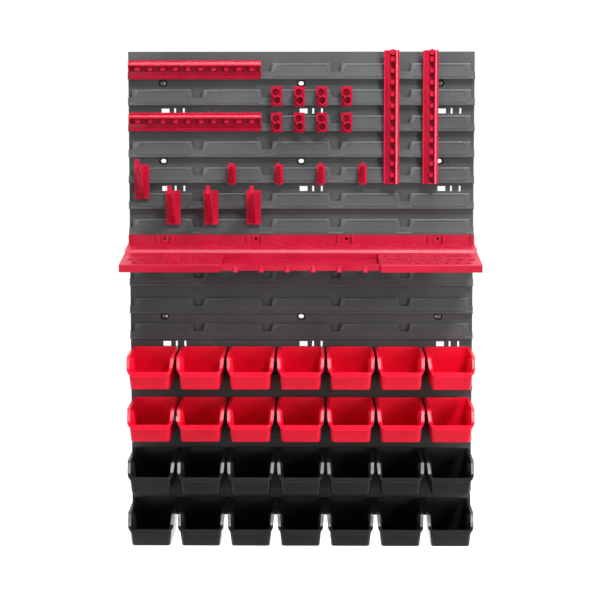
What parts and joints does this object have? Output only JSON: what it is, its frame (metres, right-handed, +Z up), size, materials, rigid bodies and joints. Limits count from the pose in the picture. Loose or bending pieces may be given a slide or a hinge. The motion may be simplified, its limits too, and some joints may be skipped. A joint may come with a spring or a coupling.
{
  "type": "tool wall",
  "caption": "Louvred plastic tool wall: stacked grey panels with hook lips carrying a red tool tray, tool rails, spring clips, hooks, and red and black storage bins.",
  "frame": {"origin": "on the wall plane, at the centre of the field of wall screws, which is midway across the panels", "axes": "+X runs along the wall to the right as seen from the front, +Y points into the wall, +Z up; the front faces -Y"},
  "size_m": [0.577, 0.1757, 0.8109],
  "materials": {
    "panel_plastic": "satin moulded grey plastic with a fine moulded grain",
    "screw_steel": "zinc plated steel",
    "tray_plastic": "semi-gloss moulded red plastic",
    "holder_plastic": "semi-gloss moulded red plastic",
    "bin_red": "semi-gloss moulded red plastic",
    "bin_black": "glossy moulded black plastic"
  },
  "bodies": {
    "root": {"panel_upper": "panel_plastic", "panel_lower": "panel_plastic", "wall_screws_upper": "screw_steel", "wall_screws_lower": "screw_steel"},
    "tool_tray": {"tool_tray": "tray_plastic", "tray_hanger_1": "holder_plastic", "tray_hanger_2": "holder_plastic", "tray_hanger_3": "holder_plastic", "tray_hanger_4": "holder_plastic"},
    "tool_rail_1": {"tool_rail_1": "holder_plastic"},
    "tool_rail_2": {"tool_rail_2": "holder_plastic"},
    "upright_rail_1": {"upright_rail_1": "holder_plastic"},
    "upright_rail_2": {"upright_rail_2": "holder_plastic"},
    "spring_clip_1_1": {"spring_clip_1_1": "holder_plastic"},
    "spring_clip_1_2": {"spring_clip_1_2": "holder_plastic"},
    "spring_clip_1_3": {"spring_clip_1_3": "holder_plastic"},
    "spring_clip_1_4": {"spring_clip_1_4": "holder_plastic"},
    "spring_clip_2_1": {"spring_clip_2_1": "holder_plastic"},
    "spring_clip_2_2": {"spring_clip_2_2": "holder_plastic"},
    "spring_clip_2_3": {"spring_clip_2_3": "holder_plastic"},
    "spring_clip_2_4": {"spring_clip_2_4": "holder_plastic"},
    "small_hook_1": {"small_hook_1": "holder_plastic"},
    "small_hook_2": {"small_hook_2": "holder_plastic"},
    "small_hook_3": {"small_hook_3": "holder_plastic"},
    "small_hook_4": {"small_hook_4": "holder_plastic"},
    "large_hook_1": {"large_hook_1": "holder_plastic"},
    "large_hook_2": {"large_hook_2": "holder_plastic"},
    "large_hook_3": {"large_hook_3": "holder_plastic"},
    "large_hook_4": {"large_hook_4": "holder_plastic"},
    "bin_1_1": {"bin_1_1": "bin_red"},
    "bin_1_2": {"bin_1_2": "bin_red"},
    "bin_1_3": {"bin_1_3": "bin_red"},
    "bin_1_4": {"bin_1_4": "bin_red"},
    "bin_1_5": {"bin_1_5": "bin_red"},
    "bin_1_6": {"bin_1_6": "bin_red"},
    "bin_1_7": {"bin_1_7": "bin_red"},
    "bin_2_1": {"bin_2_1": "bin_red"},
    "bin_2_2": {"bin_2_2": "bin_red"},
    "bin_2_3": {"bin_2_3": "bin_red"},
    "bin_2_4": {"bin_2_4": "bin_red"},
    "bin_2_5": {"bin_2_5": "bin_red"},
    "bin_2_6": {"bin_2_6": "bin_red"},
    "bin_2_7": {"bin_2_7": "bin_red"},
    "bin_3_1": {"bin_3_1": "bin_black"},
    "bin_3_2": {"bin_3_2": "bin_black"},
    "bin_3_3": {"bin_3_3": "bin_black"},
    "bin_3_4": {"bin_3_4": "bin_black"},
    "bin_3_5": {"bin_3_5": "bin_black"},
    "bin_3_6": {"bin_3_6": "bin_black"},
    "bin_3_7": {"bin_3_7": "bin_black"},
    "bin_4_1": {"bin_4_1": "bin_black"},
    "bin_4_2": {"bin_4_2": "bin_black"},
    "bin_4_3": {"bin_4_3": "bin_black"},
    "bin_4_4": {"bin_4_4": "bin_black"},
    "bin_4_5": {"bin_4_5": "bin_black"},
    "bin_4_6": {"bin_4_6": "bin_black"},
    "bin_4_7": {"bin_4_7": "bin_black"}
  },
  "joints": [
    {"name": "tool_tray_lift", "type": "slide", "parent": "root", "child": "tool_tray", "axis": [0, 0, 1], "range_m": [0, 0.0095]},
    {"name": "tool_rail_1_lift", "type": "slide", "parent": "root", "child": "tool_rail_1", "axis": [0, 0, 1], "range_m": [0, 0.0095]},
    {"name": "tool_rail_2_lift", "type": "slide", "parent": "root", "child": "tool_rail_2", "axis": [0, 0, 1], "range_m": [0, 0.0095]},
    {"name": "upright_rail_1_lift", "type": "slide", "parent": "root", "child": "upright_rail_1", "axis": [0, 0, 1], "range_m": [0, 0.0095]},
    {"name": "upright_rail_2_lift", "type": "slide", "parent": "root", "child": "upright_rail_2", "axis": [0, 0, 1], "range_m": [0, 0.0095]},
    {"name": "spring_clip_1_1_lift", "type": "slide", "parent": "root", "child": "spring_clip_1_1", "axis": [0, 0, 1], "range_m": [0, 0.0095]},
    {"name": "spring_clip_1_2_lift", "type": "slide", "parent": "root", "child": "spring_clip_1_2", "axis": [0, 0, 1], "range_m": [0, 0.0095]},
    {"name": "spring_clip_1_3_lift", "type": "slide", "parent": "root", "child": "spring_clip_1_3", "axis": [0, 0, 1], "range_m": [0, 0.0095]},
    {"name": "spring_clip_1_4_lift", "type": "slide", "parent": "root", "child": "spring_clip_1_4", "axis": [0, 0, 1], "range_m": [0, 0.0095]},
    {"name": "spring_clip_2_1_lift", "type": "slide", "parent": "root", "child": "spring_clip_2_1", "axis": [0, 0, 1], "range_m": [0, 0.0095]},
    {"name": "spring_clip_2_2_lift", "type": "slide", "parent": "root", "child": "spring_clip_2_2", "axis": [0, 0, 1], "range_m": [0, 0.0095]},
    {"name": "spring_clip_2_3_lift", "type": "slide", "parent": "root", "child": "spring_clip_2_3", "axis": [0, 0, 1], "range_m": [0, 0.0095]},
    {"name": "spring_clip_2_4_lift", "type": "slide", "parent": "root", "child": "spring_clip_2_4", "axis": [0, 0, 1], "range_m": [0, 0.0095]},
    {"name": "small_hook_1_lift", "type": "slide", "parent": "root", "child": "small_hook_1", "axis": [0, 0, 1], "range_m": [0, 0.0095]},
    {"name": "small_hook_2_lift", "type": "slide", "parent": "root", "child": "small_hook_2", "axis": [0, 0, 1], "range_m": [0, 0.0095]},
    {"name": "small_hook_3_lift", "type": "slide", "parent": "root", "child": "small_hook_3", "axis": [0, 0, 1], "range_m": [0, 0.0095]},
    {"name": "small_hook_4_lift", "type": "slide", "parent": "root", "child": "small_hook_4", "axis": [0, 0, 1], "range_m": [0, 0.0095]},
    {"name": "large_hook_1_lift", "type": "slide", "parent": "root", "child": "large_hook_1", "axis": [0, 0, 1], "range_m": [0, 0.0095]},
    {"name": "large_hook_2_lift", "type": "slide", "parent": "root", "child": "large_hook_2", "axis": [0, 0, 1], "range_m": [0, 0.0095]},
    {"name": "large_hook_3_lift", "type": "slide", "parent": "root", "child": "large_hook_3", "axis": [0, 0, 1], "range_m": [0, 0.0095]},
    {"name": "large_hook_4_lift", "type": "slide", "parent": "root", "child": "large_hook_4", "axis": [0, 0, 1], "range_m": [0, 0.0095]},
    {"name": "bin_1_1_lift", "type": "slide", "parent": "root", "child": "bin_1_1", "axis": [0, 0, 1], "range_m": [0, 0.0095]},
    {"name": "bin_1_2_lift", "type": "slide", "parent": "root", "child": "bin_1_2", "axis": [0, 0, 1], "range_m": [0, 0.0095]},
    {"name": "bin_1_3_lift", "type": "slide", "parent": "root", "child": "bin_1_3", "axis": [0, 0, 1], "range_m": [0, 0.0095]},
    {"name": "bin_1_4_lift", "type": "slide", "parent": "root", "child": "bin_1_4", "axis": [0, 0, 1], "range_m": [0, 0.0095]},
    {"name": "bin_1_5_lift", "type": "slide", "parent": "root", "child": "bin_1_5", "axis": [0, 0, 1], "range_m": [0, 0.0095]},
    {"name": "bin_1_6_lift", "type": "slide", "parent": "root", "child": "bin_1_6", "axis": [0, 0, 1], "range_m": [0, 0.0095]},
    {"name": "bin_1_7_lift", "type": "slide", "parent": "root", "child": "bin_1_7", "axis": [0, 0, 1], "range_m": [0, 0.0095]},
    {"name": "bin_2_1_lift", "type": "slide", "parent": "root", "child": "bin_2_1", "axis": [0, 0, 1], "range_m": [0, 0.0095]},
    {"name": "bin_2_2_lift", "type": "slide", "parent": "root", "child": "bin_2_2", "axis": [0, 0, 1], "range_m": [0, 0.0095]},
    {"name": "bin_2_3_lift", "type": "slide", "parent": "root", "child": "bin_2_3", "axis": [0, 0, 1], "range_m": [0, 0.0095]},
    {"name": "bin_2_4_lift", "type": "slide", "parent": "root", "child": "bin_2_4", "axis": [0, 0, 1], "range_m": [0, 0.0095]},
    {"name": "bin_2_5_lift", "type": "slide", "parent": "root", "child": "bin_2_5", "axis": [0, 0, 1], "range_m": [0, 0.0095]},
    {"name": "bin_2_6_lift", "type": "slide", "parent": "root", "child": "bin_2_6", "axis": [0, 0, 1], "range_m": [0, 0.0095]},
    {"name": "bin_2_7_lift", "type": "slide", "parent": "root", "child": "bin_2_7", "axis": [0, 0, 1], "range_m": [0, 0.0095]},
    {"name": "bin_3_1_lift", "type": "slide", "parent": "root", "child": "bin_3_1", "axis": [0, 0, 1], "range_m": [0, 0.0095]},
    {"name": "bin_3_2_lift", "type": "slide", "parent": "root", "child": "bin_3_2", "axis": [0, 0, 1], "range_m": [0, 0.0095]},
    {"name": "bin_3_3_lift", "type": "slide", "parent": "root", "child": "bin_3_3", "axis": [0, 0, 1], "range_m": [0, 0.0095]},
    {"name": "bin_3_4_lift", "type": "slide", "parent": "root", "child": "bin_3_4", "axis": [0, 0, 1], "range_m": [0, 0.0095]},
    {"name": "bin_3_5_lift", "type": "slide", "parent": "root", "child": "bin_3_5", "axis": [0, 0, 1], "range_m": [0, 0.0095]},
    {"name": "bin_3_6_lift", "type": "slide", "parent": "root", "child": "bin_3_6", "axis": [0, 0, 1], "range_m": [0, 0.0095]},
    {"name": "bin_3_7_lift", "type": "slide", "parent": "root", "child": "bin_3_7", "axis": [0, 0, 1], "range_m": [0, 0.0095]},
    {"name": "bin_4_1_lift", "type": "slide", "parent": "root", "child": "bin_4_1", "axis": [0, 0, 1], "range_m": [0, 0.0095]},
    {"name": "bin_4_2_lift", "type": "slide", "parent": "root", "child": "bin_4_2", "axis": [0, 0, 1], "range_m": [0, 0.0095]},
    {"name": "bin_4_3_lift", "type": "slide", "parent": "root", "child": "bin_4_3", "axis": [0, 0, 1], "range_m": [0, 0.0095]},
    {"name": "bin_4_4_lift", "type": "slide", "parent": "root", "child": "bin_4_4", "axis": [0, 0, 1], "range_m": [0, 0.0095]},
    {"name": "bin_4_5_lift", "type": "slide", "parent": "root", "child": "bin_4_5", "axis": [0, 0, 1], "range_m": [0, 0.0095]},
    {"name": "bin_4_6_lift", "type": "slide", "parent": "root", "child": "bin_4_6", "axis": [0, 0, 1], "range_m": [0, 0.0095]},
    {"name": "bin_4_7_lift", "type": "slide", "parent": "root", "child": "bin_4_7", "axis": [0, 0, 1], "range_m": [0, 0.0095]}
  ]
}
